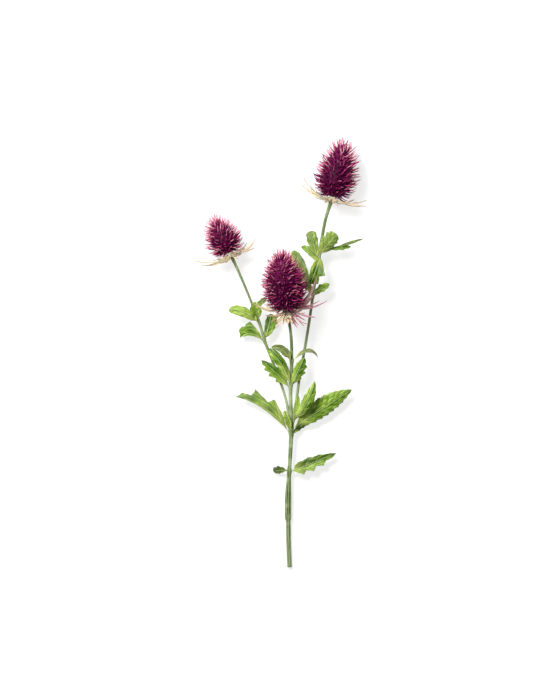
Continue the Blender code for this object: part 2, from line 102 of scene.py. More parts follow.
# The bracts of each whorl: the angle round the head (0 left, 90 away from the table, 180 right), how far the
# tip reaches from the stem, how far it rises towards the crown, and the width, in mm.
BRACTS = {
    "front": [
        (350, 38, 9, 2.2), (30, 29, 3, 2.2), (62, 32, -9, 2.2), (85, 18, -2, 2.0), (97, 21, -4, 2.0),
        (118, 36, -7, 3.2), (140, 39, -3, 2.4), (151, 23, 6, 2.0), (172, 45, 6, 2.2), (199, 41, 29, 5.4),
        (218, 32, 11, 2.4), (240, 24, 3, 2.0), (264, 22, 0, 2.0), (287, 23, 0, 2.0), (312, 26, 3, 2.0),
        (333, 30, 5, 2.2),
    ],
    "top": [
        (8, 36, 16, 2.2), (348, 38, 10, 2.2), (26, 31, 9, 2.4), (50, 22, 2, 2.0), (76, 16, -3, 2.0),
        (112, 22, -6, 2.2), (128, 24, -2, 2.0), (150, 26, 4, 2.0), (167, 39, -1, 2.2), (180, 38, 7, 2.0),
        (205, 28, 4, 2.0), (232, 24, 2, 2.0), (258, 22, 0, 2.0), (282, 22, 0, 2.0), (306, 25, 2, 2.0),
        (330, 30, 6, 2.2),
    ],
    "left": [
        (3, 41, 12, 2.2), (350, 39, 5, 2.2), (32, 30, -2, 2.0), (52, 24, -4, 2.0), (74, 16, -6, 2.0),
        (107, 18, -8, 2.2), (138, 20, 0, 2.0), (158, 26, -2, 2.0), (170, 28, -6, 2.0), (181, 34, 4, 2.0),
        (208, 24, 3, 2.0), (235, 21, 0, 2.0), (262, 19, 0, 2.0), (288, 19, 0, 2.0), (312, 23, 2, 2.0),
        (332, 30, 4, 2.0),
    ],
}

# %% [markdown]
# A leaf is told by where it grows, by three points of its midrib and by its two edges, which differ: a
# lobed leaf often has its large lobes on one side. A small class names the numbers of each row.


# %% Leaves
class Leaf(NamedTuple):
    """A leaf: where it grows, how it runs, its two edges, and how its blade lies."""

    stem: str
    height: float  # along its stem
    side: float  # on which it leaves the stem, in degrees: 0 right, 90 up, 180 left
    middle: tuple  # a point half way along
    tip: tuple
    left: tuple  # half the width and the depth of the notches, on the left as seen from the root
    right: tuple
    teeth: int
    roll: float
    fold: float  # how steeply the halves rise from the midrib
    tone: float  # from 0, old and dark, to 1, young and yellow
    shaded: float = 0.0  # how much darker its right half is than its left, both as seen from the root
    dull: float = 0.0  # how grey and dry it is
    slant: float = 0.35  # how far the edge is drawn towards the tip, in half widths
    point: float = 0.75  # 0.75 for a pointed leaf and less for a blunt one
    belly: float = 0.44  # share of the blade's length at which it is widest
    lobe: float = 1.0  # 1 for plain teeth, and less for narrow lobes with a wide gap before each
    stalk: float = 0.0  # share of the length that is a bare stalk


LEAVES = {
    "leaf_foot_1": Leaf(
        "front", 106, 15, (24, 115.2, 11), (51, 125.8, 8), (8, 0.2), (11, 0.5), 4, 8, 0.2, tone=0.18,
        dull=0.1, shaded=-0.8, slant=0.12, belly=0.4, lobe=0.7,
    ),
    "leaf_foot_2": Leaf(
        "front", 106.5, 170, (-9.4, 107.6, 8.5), (-18.4, 106.2, 4), (4.8, 0.25), (5.8, 0.3), 3, 20, 0.15,
        tone=0.1, dull=0.25, slant=0.2, point=0.5, belly=0.62, stalk=0.1,
    ),
    "leaf_fork_1": Leaf(
        "front", 154, 8, (36.7, 175.8, 13), (68, 196, 13), (13, 0.1), (10, 0.2), 9, -4, -0.14, tone=0.5,
        shaded=0.15,
    ),
    "leaf_fork_2": Leaf(
        "right", 163, 52, (18.4, 182.4, 24.5), (27.2, 205.3, 22), (6.4, 0.14), (7, 0.18), 5, 8, -0.24,
        tone=0.55, shaded=0.6, belly=0.5,
    ),
    "leaf_fork_3": Leaf(
        "front", 149, 172, (-29, 177, 16), (-60, 188, 12), (2.6, 0.1), (15, 0.54), 3, -22, 0.2, tone=0.58,
        dull=0.25, shaded=0.4, slant=1, belly=0.38, lobe=0.7,
    ),
    "leaf_fork_4": Leaf(
        "right", 168, 105, (7.6, 178, 18), (8.8, 190, 19.5), (3.6, 0.15), (3.6, 0.15), 3, 20, 0.2,
        tone=0.75, point=0.5,
    ),
    "leaf_fork_5": Leaf(
        "front", 147, 340, (11.8, 155.4, 5.5), (20.6, 158.6, 3.5), (3.4, 0.2), (3.4, 0.3), 3, 0, 0.2,
        tone=0.05, point=0.5,
    ),
    "leaf_fork_6": Leaf(
        "front", 152, 105, (-3.2, 164, 19), (-6, 173, 20), (3.8, 0.2), (3.8, 0.2), 3, 0, 0.25, tone=0.85,
        point=0.5,
    ),
    "leaf_front_1": Leaf(
        "front", 199, 190, (-16, 215.4, 16.5), (-31.6, 228.4, 14), (9.4, 0.5), (6.2, 0.25), 4, -6, 0.2,
        tone=0.4, shaded=0.4, slant=0.5, lobe=0.85,
    ),
    "leaf_front_2": Leaf(
        "front", 204, 120, (-10.4, 226, 25), (-24.6, 240.4, 23), (6.2, 0.07), (5.8, 0.08), 4, 14, -0.15,
        tone=0.5, shaded=0.6, point=0.45, belly=0.56,
    ),
    "leaf_front_3": Leaf(
        "front", 229, 150, (-8.2, 240.8, 29), (-20.2, 242.4, 26), (5, 0.1), (4.8, 0.12), 3, 22, 0.25,
        tone=0.5, dull=0.6, point=0.55, belly=0.4,
    ),
    "leaf_front_4": Leaf(
        "front", 228, 20, (19.2, 239, 26), (30.8, 231.5, 22), (2.6, 0.15), (2.6, 0.2), 3, 20, 0.3, tone=0.4,
        dull=0.8,
    ),
    "leaf_front_5": Leaf(
        "front", 201, 30, (8.8, 216.4, 22), (16, 232, 23), (6.2, 0.12), (9, 0.36), 4, 10, -0.24, tone=0.4,
        shaded=0.6, lobe=0.8, belly=0.48,
    ),
    "leaf_left_1": Leaf(
        "left", 271, 175, (-51.5, 280.2, 22.5), (-67.2, 283.2, 18), (4.8, 0.1), (7.8, 0.12), 4, 14, -0.12,
        tone=0.92, dull=0.15, point=0.42, belly=0.5,
    ),
    "leaf_left_2": Leaf(
        "left", 250, 180, (-43, 258, 13), (-55, 253.4, 8), (3.6, 0.2), (13, 0.4), 2, -8, 0.2, tone=0.36,
        shaded=0.4, slant=0.85, point=1, belly=0.5, lobe=0.7,
    ),
    "leaf_left_3": Leaf(
        "left", 253, 30, (-23.9, 264.6, 14.5), (-20.6, 279.6, 9), (5.4, 0.12), (9, 0.18), 4, 10, -0.2,
        tone=0.25, shaded=-0.5, point=0.36, belly=0.66,
    ),
    "leaf_left_4": Leaf(
        "left", 275, 100, (-37.5, 283, 23), (-38.5, 292.5, 23), (7.4, 0.2), (7.4, 0.2), 3, -14, 0.2,
        tone=0.85, point=0.45,
    ),
    "leaf_left_5": Leaf(
        "left", 286, 340, (-31, 293, 14), (-26, 298, 9), (3.6, 0.25), (3.6, 0.25), 3, 10, 0.2, tone=0.15,
        dull=0.4,
    ),
    "leaf_right_1": Leaf(
        "right", 341, 165, (26, 356.5, 24), (23, 370.6, 22.5), (7.4, 0.22), (6.4, 0.2), 3, 0, -0.15,
        tone=0.55, dull=0.3, shaded=-0.4, point=0.3, belly=0.66,
    ),
    "leaf_right_2": Leaf(
        "right", 337, 215, (21.2, 349, 15.5), (12.6, 353, 13), (4.1, 0.15), (4.2, 0.15), 3, 0, 0.15,
        tone=0.62, point=0.5,
    ),
    "leaf_right_3": Leaf(
        "right", 346.5, 88, (42, 356.4, 27.5), (51.4, 366.6, 27), (11.4, 0.28), (7.8, 0.22), 4, -14, -0.14,
        tone=0.52, dull=0.3, shaded=0.3, point=0.36, belly=0.6,
    ),
    "leaf_right_4": Leaf(
        "right", 346.5, 20, (49.8, 351.2, 22), (67.4, 353.4, 18), (2.8, 0.1), (3.4, 0.35), 3, 10, 0.3,
        tone=0.45, belly=0.55, stalk=0.3,
    ),
    "leaf_right_5": Leaf(
        "right", 341, 62, (28, 327.6, 25), (22.4, 312.4, 23), (13, 0.45), (6, 0.1), 2, -6, 0.2, tone=0.22,
        shaded=-0.4, slant=0.6, lobe=0.8, point=0.5, belly=0.4,
    ),
    "leaf_right_6": Leaf(
        "right", 300, 15, (32.6, 306, 21), (43.4, 312.4, 19), (5.2, 0.3), (4.8, 0.25), 3, 4, 0.25, tone=0.5,
        point=0.6, belly=0.6,
    ),
    "leaf_right_7": Leaf(
        "right", 301, 200, (13.2, 323.5, 12.5), (3.6, 349.6, 9), (8.4, 0.1), (8.6, 0.1), 4, 6, 0.15,
        tone=0.42, dull=0.3, shaded=0.5, point=0.45, belly=0.6,
    ),
    "leaf_right_8": Leaf(
        "right", 348, 340, (58, 355.2, 16), (81.4, 362.6, 11), (1.9, 0.1), (2, 0.15), 3, 10, 0.25, tone=0.3,
        dull=0.4, stalk=0.42,
    ),
}
LEAF_THICK = 0.5
STALK_WIDTH = 2.4
TOOTHLESS = 0.1  # share of a blade's length before its first notch
TURN_SHARE = 0.2  # share of a leaf's length over which it turns to face up
TOOTH_PEAK = 0.62  # where a tooth's point stands between one notch and the next
print("leaves:", len(LEAVES), "heads:", len(HEADS))

# %% [markdown]
# Finishes are built from shader nodes. Written out node by node, a formula such as "pale along the veins,
# darker towards the edge" takes a page. Here a small class wraps a node's output, and Python's own plus and
# times add the Math nodes, so that a mask reads like the sum it is. Colours never go through a Math node,
# which would turn them grey: they are blended by a Mix node.


# %% A socket that can be calculated with
class Signal:
    """A node's output. Sums, products and powers of it add their Math nodes."""

    def __init__(self, finish, socket):
        self.finish = finish
        self.socket = socket

    def math(self, operation, other=0.0, swapped=False):
        pair = (other, self) if swapped else (self, other)
        return self.finish.node("Math", {"operation": operation}, {0: pair[0], 1: pair[1]})

    def __add__(self, other):
        return self.math("ADD", other)

    def __radd__(self, other):
        return self.math("ADD", other)

    def __sub__(self, other):
        return self.math("SUBTRACT", other)

    def __rsub__(self, other):
        return self.math("SUBTRACT", other, swapped=True)

    def __mul__(self, other):
        return self.math("MULTIPLY", other)

    def __rmul__(self, other):
        return self.math("MULTIPLY", other)

    def __pow__(self, other):
        return self.math("POWER", other)

    def __abs__(self):
        return self.math("ABSOLUTE")

    def step(self, low, high):
        """0 below low, 1 above high and smooth between. With low above high it falls instead of rising."""
        ends = {"Value": self, "From Min": low, "From Max": high}
        return self.finish.node("MapRange", {"interpolation_type": "SMOOTHSTEP"}, ends)


# %% A finish: one material and the ways to add to it
class Finish:
    """A material whose Principled shader gets constants by name, and nodes through one method."""

    def __init__(self, name, **constants):
        self.material = bpy.data.materials.new(name)
        self.material.use_nodes = True
        self.tree = self.material.node_tree
        self.shader = self.tree.nodes["Principled BSDF"]
        for socket, value in constants.items():
            self.shader.inputs[socket.replace("_", " ")].default_value = value

    def node(self, kind, settings=None, inputs=None, output=0):
        """Adds a node: its settings first, ramp stops among them, then the values or links of its sockets."""
        made = self.tree.nodes.new("ShaderNode" + kind)
        for key, value in (settings or {}).items():
            if key == "stops":
                self.set_stops(made.color_ramp, value)
            else:
                setattr(made, key, value)
        for key, value in (inputs or {}).items():
            self.plug(made.inputs[key], value)
        return Signal(self, made.outputs[output])

    def plug(self, socket, value):
        if isinstance(value, Signal):
            self.tree.links.new(value.socket, socket)
        else:
            socket.default_value = value

    def set_stops(self, ramp, stops):
        while len(ramp.elements) < len(stops):
            ramp.elements.new(1.0)
        for element, (place, colour) in zip(ramp.elements, stops):
            element.position = place
            element.color = (*colour, 1)

    def attribute(self, name):
        return self.node("Attribute", {"attribute_name": name}, output=2)

    def ramp(self, value, *stops):
        return self.node("ValToRGB", {"stops": stops}, {0: value})

    def blend(self, share, first, second):
        """The first colour where share is 0 and the second where it is 1."""
        first, second = (c if isinstance(c, Signal) else (*c, 1) for c in (first, second))
        return self.node("Mix", {"data_type": "RGBA"}, {0: share, 6: first, 7: second}, output=2)

    def noise(self, scale, detail=2.0, stretch=(1, 1, 1), place=None):
        """Soft noise on a place, or else on the object's own coordinates. Stretch is its grain by axis."""
        place = place or self.node("TexCoord", output=3)
        place = self.node("Mapping", inputs={0: place, 3: tuple(s * scale for s in stretch)})
        return self.node("TexNoise", inputs={"Vector": place, "Scale": 1.0, "Detail": detail})

    def paint(self, colour):
        self.plug(self.shader.inputs["Base Color"], colour)

    def bump(self, height, depth):
        relief = self.node("Bump", inputs={"Height": height, "Distance": depth})
        self.plug(self.shader.inputs["Normal"], relief)


# %% [markdown]
# The stalk is an olive green with pale ribs that run along it, and a painted highlight lies on the crests
# of the ribs as well. It is paler near the cut and along the two side branches; along the right branch that
# is partly painted light where the front head's shadow falls on it. The ribs are in the mesh, and an
# attribute carries them to the colour too, so that paint and relief can't drift apart. A low specular
# level keeps the white surroundings from greying the green.

# %% Finish of the stems
STALK_DARK = (0.045, 0.085, 0.014)
STALK_GREEN = (0.21, 0.285, 0.10)
STALK_PALE_AND_HIGHLIGHT = (0.50, 0.57, 0.34)
NODE_GREEN = (0.15, 0.24, 0.05)
PITH = (0.62, 0.56, 0.36)
STALK_PALER = (0.47, 0.50, 0.34)
FIBRE_GRAIN = (14, 1, 14)  # the fibres run along the stem

stem_green = Finish("stem_green", Roughness=0.5, Specular_IOR_Level=0.2)
rib = stem_green.attribute("rib")
fibre = stem_green.noise(60, 3, FIBRE_GRAIN)
blotch = stem_green.noise(55, 2)
green = stem_green.blend((rib * 0.5 + fibre * 2.0).step(0.65, 1.45), STALK_DARK, STALK_GREEN)
green = stem_green.blend(blotch.step(0.45, 0.75) * 0.6, green, STALK_PALE_AND_HIGHLIGHT)
# Painted highlight, partly the ribs' own paler colour: the crests of the ribs turn pale where the fibre noise
# allows.
green = stem_green.blend(rib.step(0.5, 1.0) * fibre.step(0.42, 0.62) * 0.85, green, STALK_PALE_AND_HIGHLIGHT)
green = stem_green.blend(stem_green.attribute("collar") * 0.7, green, NODE_GREEN)
# Paler towards the cut and along the branches; on the right branch partly painted light where the front
# head's shadow falls.
green = stem_green.blend(stem_green.attribute("faded") * 0.35, green, STALK_PALER)
stem_green.paint(stem_green.blend(stem_green.attribute("cut"), green, PITH))
stem_green.bump(fibre, 0.0006)

# %% [markdown]
# A leaf is greenest between its veins. The midrib and the side veins are pale, the base is yellow where it
# leaves the stem, and a young leaf is more yellow than an old one. The rim carries a painted highlight in
# places, and so do pale streaks along the blade. A band beside the midrib on one side is darker as painted
# shade, and one half of a leaf can be darker than the other, as painted shade of a fold. The mesh tells the
# shader how far a point is from the midrib, and a number that is whole on every side vein.

# %% Finish of the leaves
LEAF_OLD = (0.026, 0.080, 0.002)
LEAF_MIDDLE = (0.135, 0.26, 0.014)
LEAF_YOUNG = (0.46, 0.60, 0.11)
LEAF_BASE = (0.44, 0.52, 0.11)
LEAF_DRY = (0.25, 0.26, 0.13)
VEIN_AND_HIGHLIGHT = (0.48, 0.56, 0.22)
VEIN_WIDTH = 0.11  # in steps from one side vein to the next
STREAK_GRAIN = (0.09, 0.75, 1)  # streaks are long along a leaf and narrow across it
STREAK_SHIFT = 90  # gives leaves of another tone other streaks

leaf_green = Finish("leaf_green", Roughness=0.45, Specular_IOR_Level=0.2)
tone = leaf_green.attribute("tone")
rib_distance = leaf_green.attribute("rib_distance")
vein_count = leaf_green.attribute("vein_count")
rim = leaf_green.attribute("rim")
share = leaf_green.attribute("share")
crosswise = leaf_green.attribute("crosswise")
mottle = leaf_green.noise(160, 4)
patch = leaf_green.noise(45, 2)
lengthwise = leaf_green.attribute("lengthwise")
on_leaf = leaf_green.node("CombineXYZ", inputs={0: lengthwise, 1: crosswise, 2: tone * STREAK_SHIFT})
streak = leaf_green.noise(1, 3, STREAK_GRAIN, on_leaf)
to_vein = abs(vein_count.math("FRACT") - 0.5)
side_vein = to_vein.step(0.5 - VEIN_WIDTH, 0.5) * (1 - rim * 0.6) * mottle.step(0.3, 0.6)
midrib = rib_distance.step(0.75, 0.2)
# Painted shade: a band beside the midrib, on the right half only, is darker as if the crease lay in shade.
crease_shadow = crosswise.step(0.1, 0.5) * crosswise.step(2.2, 0.8)
unevenness = (streak - 0.5) * 1.8 + (mottle - 0.5) * 0.4 + (patch - 0.5) * 0.7
# Painted shade: one half of a leaf is darker than the other, as if it lay in shade.
shaded = leaf_green.attribute("shaded") * 0.28
freshness = tone * 0.8 + unevenness + to_vein * 0.15 - crease_shadow * 0.3 - shaded
blade_green = leaf_green.ramp(freshness, (0.0, LEAF_OLD), (0.45, LEAF_MIDDLE), (1.0, LEAF_YOUNG))
blade_green = leaf_green.blend(leaf_green.attribute("dull") * 0.8, blade_green, LEAF_DRY)
blade_green = leaf_green.blend(share.step(0.4, 0.0) * 0.7, blade_green, LEAF_BASE)
blade_green = leaf_green.blend(rim.step(0.55, 1.0) * streak.step(0.6, 0.4) * 0.6, blade_green, LEAF_OLD)
# Painted highlight: the rim turns pale in patches.
blade_green = leaf_green.blend(rim.step(0.5, 1.0) * patch.step(0.45, 0.6) * 0.5, blade_green, VEIN_AND_HIGHLIGHT)
# The pale streaks are painted highlights; the side veins are the leaf's own pale colour.
blade_green = leaf_green.blend(streak.step(0.55, 0.75) * 0.35 + side_vein * 0.35, blade_green, VEIN_AND_HIGHLIGHT)
blade_green = leaf_green.blend(midrib * 0.75, blade_green, VEIN_AND_HIGHLIGHT)
leaf_green.paint(blade_green)
leaf_green.bump(mottle * 0.6 - side_vein - midrib * 0.6, 0.0006)

# %% [markdown]
# Bracts are dry and papery, so a little light passes through them. They are cream at the root, with brown
# edges and tips, and those of the front head blush to mauve towards their tips. A head is a nearly black
# felt, redder at the crown, with spines from plum to magenta. Half of the spines end in plum and the rest
# in a pale point, partly a paler tip of their own and partly a painted highlight, more of them at the crown.

# %% Finish of the bracts
CREAM = (0.97, 0.90, 0.66)
STRAW = (0.36, 0.23, 0.11)
MAUVE = (0.55, 0.23, 0.33)
GREY_TIP = (0.22, 0.13, 0.14)

bract_cream = Finish(
    "bract_cream", Roughness=0.6, Specular_IOR_Level=0.3,
    Subsurface_Weight=0.4, Subsurface_Radius=(1.0, 0.65, 0.4), Subsurface_Scale=0.002,
)
along = bract_cream.attribute("along")
grain = bract_cream.noise(220, 3)
paper = bract_cream.blend(bract_cream.attribute("across").step(0.5, 0.95) * 0.6, CREAM, STRAW)
paper = bract_cream.blend(grain.step(0.5, 0.8) * 0.2, paper, STRAW)
paper = bract_cream.blend(along.step(0.35, 0.95) * 0.65, paper, STRAW)
paper = bract_cream.blend(bract_cream.attribute("blush") * along.step(0.1, 0.6), paper, MAUVE)
paper = bract_cream.blend(along.step(0.75, 1.0) * 0.5, paper, GREY_TIP)
bract_cream.paint(paper)
bract_cream.bump(grain, 0.0002)

# %% Finish of the heads
CORE = (0.030, 0.0005, 0.014)
PLUM = (0.080, 0.002, 0.038)
PURPLE = (0.21, 0.012, 0.10)
CRIMSON = (0.56, 0.045, 0.17)
ROSE = (0.88, 0.36, 0.46)
PALE_TIP_AND_HIGHLIGHT = (0.82, 0.52, 0.57)

head_burgundy = Finish("head_burgundy", Roughness=0.5, Specular_IOR_Level=0.05)
along = head_burgundy.attribute("along")
crown = head_burgundy.attribute("crown")
shade = head_burgundy.attribute("shade")
light = crown * 0.55 + shade * 0.85 - 0.1
shaft = head_burgundy.ramp(light, (0.0, PLUM), (0.35, PURPLE), (0.75, CRIMSON), (1.0, ROSE))
felt = head_burgundy.blend(head_burgundy.noise(450, 3).step(0.4, 0.65), CORE, PLUM)
felt = head_burgundy.blend(crown.step(0.5, 0.95) * 0.45, felt, PURPLE)
spine = head_burgundy.blend(along.step(0.1, 0.6), felt, shaft)
spine = head_burgundy.blend(along.step(0.5, 0.95) * shade.step(0.8, 0.4) * 0.8, spine, PLUM)
# Pale pink points, partly the spines' own paler tips and partly painted highlight, most of them at the crown.
spine = head_burgundy.blend(along.step(0.65, 1.0) * shade.step(0.5, 0.95) * (crown * 0.6 + 0.1), spine, PALE_TIP_AND_HIGHLIGHT)
head_burgundy.paint(spine)

# %% [markdown]
# Every surface here is a grid of points worked out by a formula. One helper numbers the grid's faces and
# another puts points, faces and the numbers that the finish reads into a mesh. Normals are recalculated
# once the mesh is closed, because a grid that is wound the wrong way would be inside out.


# %% Grids and meshes
MUCH_TO_SPARE = 4  # mm above the clear height


def grid_faces(rows, columns, around=False):
    """Four-cornered faces between the points of a grid, numbered row by row. Around joins its long edges."""
    steps = columns if around else columns - 1
    row, column = np.meshgrid(np.arange(rows - 1), np.arange(steps), indexing="ij")
    following = (column + 1) % columns
    near, far = row * columns, (row + 1) * columns
    corners = np.stack([near + column, near + following, far + following, far + column], -1)
    return corners.reshape(-1, 4).tolist()


def tube_faces(rows, sides):
    """The faces of a tube with a flat cap on each end."""
    last = (rows - 1) * sides
    caps = [list(range(sides)), list(range(last, last + sides))]
    return grid_faces(rows, sides, around=True) + caps


def unit(vectors):
    """Each vector divided by its own length."""
    return vectors / np.linalg.norm(vectors, axis=-1, keepdims=True)


def on_table(points, clear):
    """Points whose z eases over to the clear height and never goes below: clear + (s + sqrt(s * s + 1)) / 2.

    Here s is what z has to spare over the clear height. Points with much to spare stay as they are.
    """
    spare = points[..., 2] - clear
    eased = clear + 0.5 * (spare + np.sqrt(spare**2 + 1.0))
    lifted = points.copy()
    lifted[..., 2] = np.where(spare < MUCH_TO_SPARE, eased, points[..., 2])
    return lifted


def make_piece(name, points, faces, numbers, finish, nodes, closed=True):
    """A smooth piece from points in mm and faces, with one attribute for each named array of numbers.

    It rides on the root and hides the solid's nodes that it stands for. Of a closed one the normals are
    turned outwards.
    """
    mesh = bpy.data.meshes.new(name)
    mesh.from_pydata(((points.reshape(-1, 3) + FOOT) * MM).tolist(), [], faces)
    for key, values in numbers.items():
        layer = mesh.attributes.new(key, "FLOAT", "POINT")
        layer.data.foreach_set("value", np.ascontiguousarray(values, np.float32).ravel())
    if closed:
        bm = bmesh.new()
        bm.from_mesh(mesh)
        bmesh.ops.recalc_face_normals(bm, faces=bm.faces)
        bm.to_mesh(mesh)
        bm.free()
    mesh.shade_smooth()
    mesh.materials.append(finish.material)
    piece = bpy.data.objects.new(name, mesh)
    scene.collection.objects.link(piece)
    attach(piece, "root")
    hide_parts(*nodes)
    return piece


def thicken(sheet, thickness):
    """Gives an open sheet its thickness, half to each side."""
    skin = sheet.modifiers.new("thickness", "SOLIDIFY")
    skin.thickness = thickness * MM
    skin.offset = 0


# %% [markdown]
# A stem is a cross-section carried along a line. The section is a circle with shallow ribs, the line is the
# smooth curve through the solid's own knots, and the radius runs straight from one measured place to the
# next. Where a leaf grows, the stalk swells a little on that side. The three stalks sink into each other at
# the fork.


# %% The line of a stem
def through(places, values, at):
    """The cubic through the values whose slope at each place is the slope between its neighbours."""
    places, values = np.asarray(places, float), np.asarray(values, float)
    slopes = np.gradient(values, places)
    i = np.clip(np.searchsorted(places, at) - 1, 0, len(places) - 2)
    step = places[i + 1] - places[i]
    t = (at - places[i]) / step
    low = values[i] * (1 + 2 * t) + slopes[i] * t * step
    high = values[i + 1] * (3 - 2 * t) - slopes[i + 1] * (1 - t) * step
    return low * (1 - t) ** 2 + high * t**2


def stem_points(stem, heights):
    """Points of the stem's centre line at these heights."""
    y, x, z = np.array(STEMS[stem]["line"], float).T
    heights = np.asarray(heights, float)
    return np.stack([through(y, x, heights), heights, through(y, z, heights)], -1)


def stem_radius(stem, heights):
    y, r = np.array(STEMS[stem]["girth"], float).T
    return np.interp(heights, y, r)


def path_frames(path):
    """For each point of a path its direction, a level vector to its right and one that points up."""
    forward = unit(np.gradient(path, axis=0))
    right = unit(np.cross(forward, (0, 0, 1)))
    return forward, right, np.cross(right, forward)


# %% The ribbed stems
RING_STEP = 1.3
RIBS = 8
RIB_DEPTH = 0.055
STEM_SIDES = 40
RIB_TWIST = 0.012  # how far the wave of the ribs moves round the stem in a mm, in radians
COLLAR = 0.6  # swelling under a leaf, mm
COLLAR_REACH = 2.2  # along the stem, mm
STEM_END = (0.0, 0.93, 1.0)  # share of the radius in the three rings that close an end
# How much paler each stem is: heights along it, and the share there. Along the right branch this is partly
# painted light where the front head's shadow falls on it.
PALING = {
    "front": ([0, 45, 60], [0.7, 0.25, 0]),
    "left": ([160, 290], [0.5, 0.3]),
    "right": ([160, 330, 350], [0.6, 0.8, 0]),
}


def stem_surface(stem):
    """Rings of r * (1 + depth * cos(ribs * angle)) along the centre line, swollen where each leaf grows."""
    first, last = STEMS[stem]["line"][0][0], STEMS[stem]["line"][-1][0]
    heights = np.linspace(first, last, round((last - first) / RING_STEP) + 1)
    heights = np.concatenate([[first] * 2, heights, [last] * 2])
    inset = np.ones(len(heights))
    inset[:3] = STEM_END
    inset[-3:] = STEM_END[::-1]
    path = stem_points(stem, heights)
    middle = stem_points(stem, heights[2:-2])
    right, up = (np.pad(v, ((2, 2), (0, 0)), mode="edge") for v in path_frames(middle)[1:])
    angle = np.linspace(0, 2 * math.pi, STEM_SIDES, endpoint=False)
    wave = np.cos(RIBS * angle[None] + RIB_TWIST * heights[:, None])
    collar = np.zeros((len(heights), STEM_SIDES))
    for leaf in LEAVES.values():
        if leaf.stem == stem:
            near = np.exp(-(((heights - leaf.height) / COLLAR_REACH) ** 2))[:, None]
            facing = 0.5 + 0.5 * np.cos(angle - math.radians(leaf.side))
            collar = np.maximum(collar, near * facing[None] ** 2)
    radius = stem_radius(stem, heights)[:, None] * (1 + RIB_DEPTH * wave) + COLLAR * collar
    radius = radius * inset[:, None]
    spoke = np.cos(angle)[None, :, None] * right[:, None] + np.sin(angle)[None, :, None] * up[:, None]
    cut = np.repeat((inset < 1).astype(float)[:, None], STEM_SIDES, 1)
    faded = np.repeat(np.interp(heights, *PALING[stem])[:, None], STEM_SIDES, 1)
    return on_table(path[:, None] + radius[..., None] * spoke, 0), wave, collar, cut, faded


def merged(parts):
    """Several grids of points and their faces, put one after another in a single list."""
    faces = []
    start = 0
    for points, part_faces in parts:
        faces += [[start + corner for corner in face] for face in part_faces]
        start += points.reshape(-1, 3).shape[0]
    return np.concatenate([points.reshape(-1, 3) for points, _ in parts]), faces


grids = [stem_surface(stem) for stem in STEMS]
points, faces = merged([(g[0], grid_faces(*g[0].shape[:2], around=True)) for g in grids])
keys = ("rib", "collar", "cut", "faded")
numbers = {key: np.concatenate([g[i].ravel() for g in grids]) for i, key in enumerate(keys, 1)}
make_piece("ribbed_stems", points, faces, numbers, stem_green, ["stem"])
print("stems:", len(points), "points")

# %% [markdown]
# A leaf is a sheet over two numbers: share runs from its root to its tip and across from one edge to the
# other. The half width swells and falls, and saw teeth are cut into it. The sheet is folded up along the
# midrib, puffed between its side veins and rippled at its rim, then gets its thickness from a Solidify
# modifier.


# %% The outline and the lie of a leaf
def notch(share, teeth):
    """0 on the point of a tooth and 1 in the notch before it."""
    place = np.clip(share - TOOTHLESS, 0, None) / (1 - TOOTHLESS) * teeth % 1
    return np.where(place < TOOTH_PEAK, 1 - place / TOOTH_PEAK, (place - TOOTH_PEAK) / (1 - TOOTH_PEAK))


FINE_TEETH = 3  # small teeth on each large one
FINE_DEPTH = 0.07
VEIN_SLOPE = 0.6
PUFF = 0.045  # height of the blade between two veins, in widths
RIPPLE = 0.08  # height of the ripple at the rim, in half widths
ROOT_SUNK = 0.2  # how deep a leaf's root stands in its stem, mm
LEAST_HALF = 0.12  # half the width of a leaf at its tip, mm
LEAF_CLEAR = 0.5  # least height above the table
ROWS_A_TOOTH = 14
ACROSS = 17


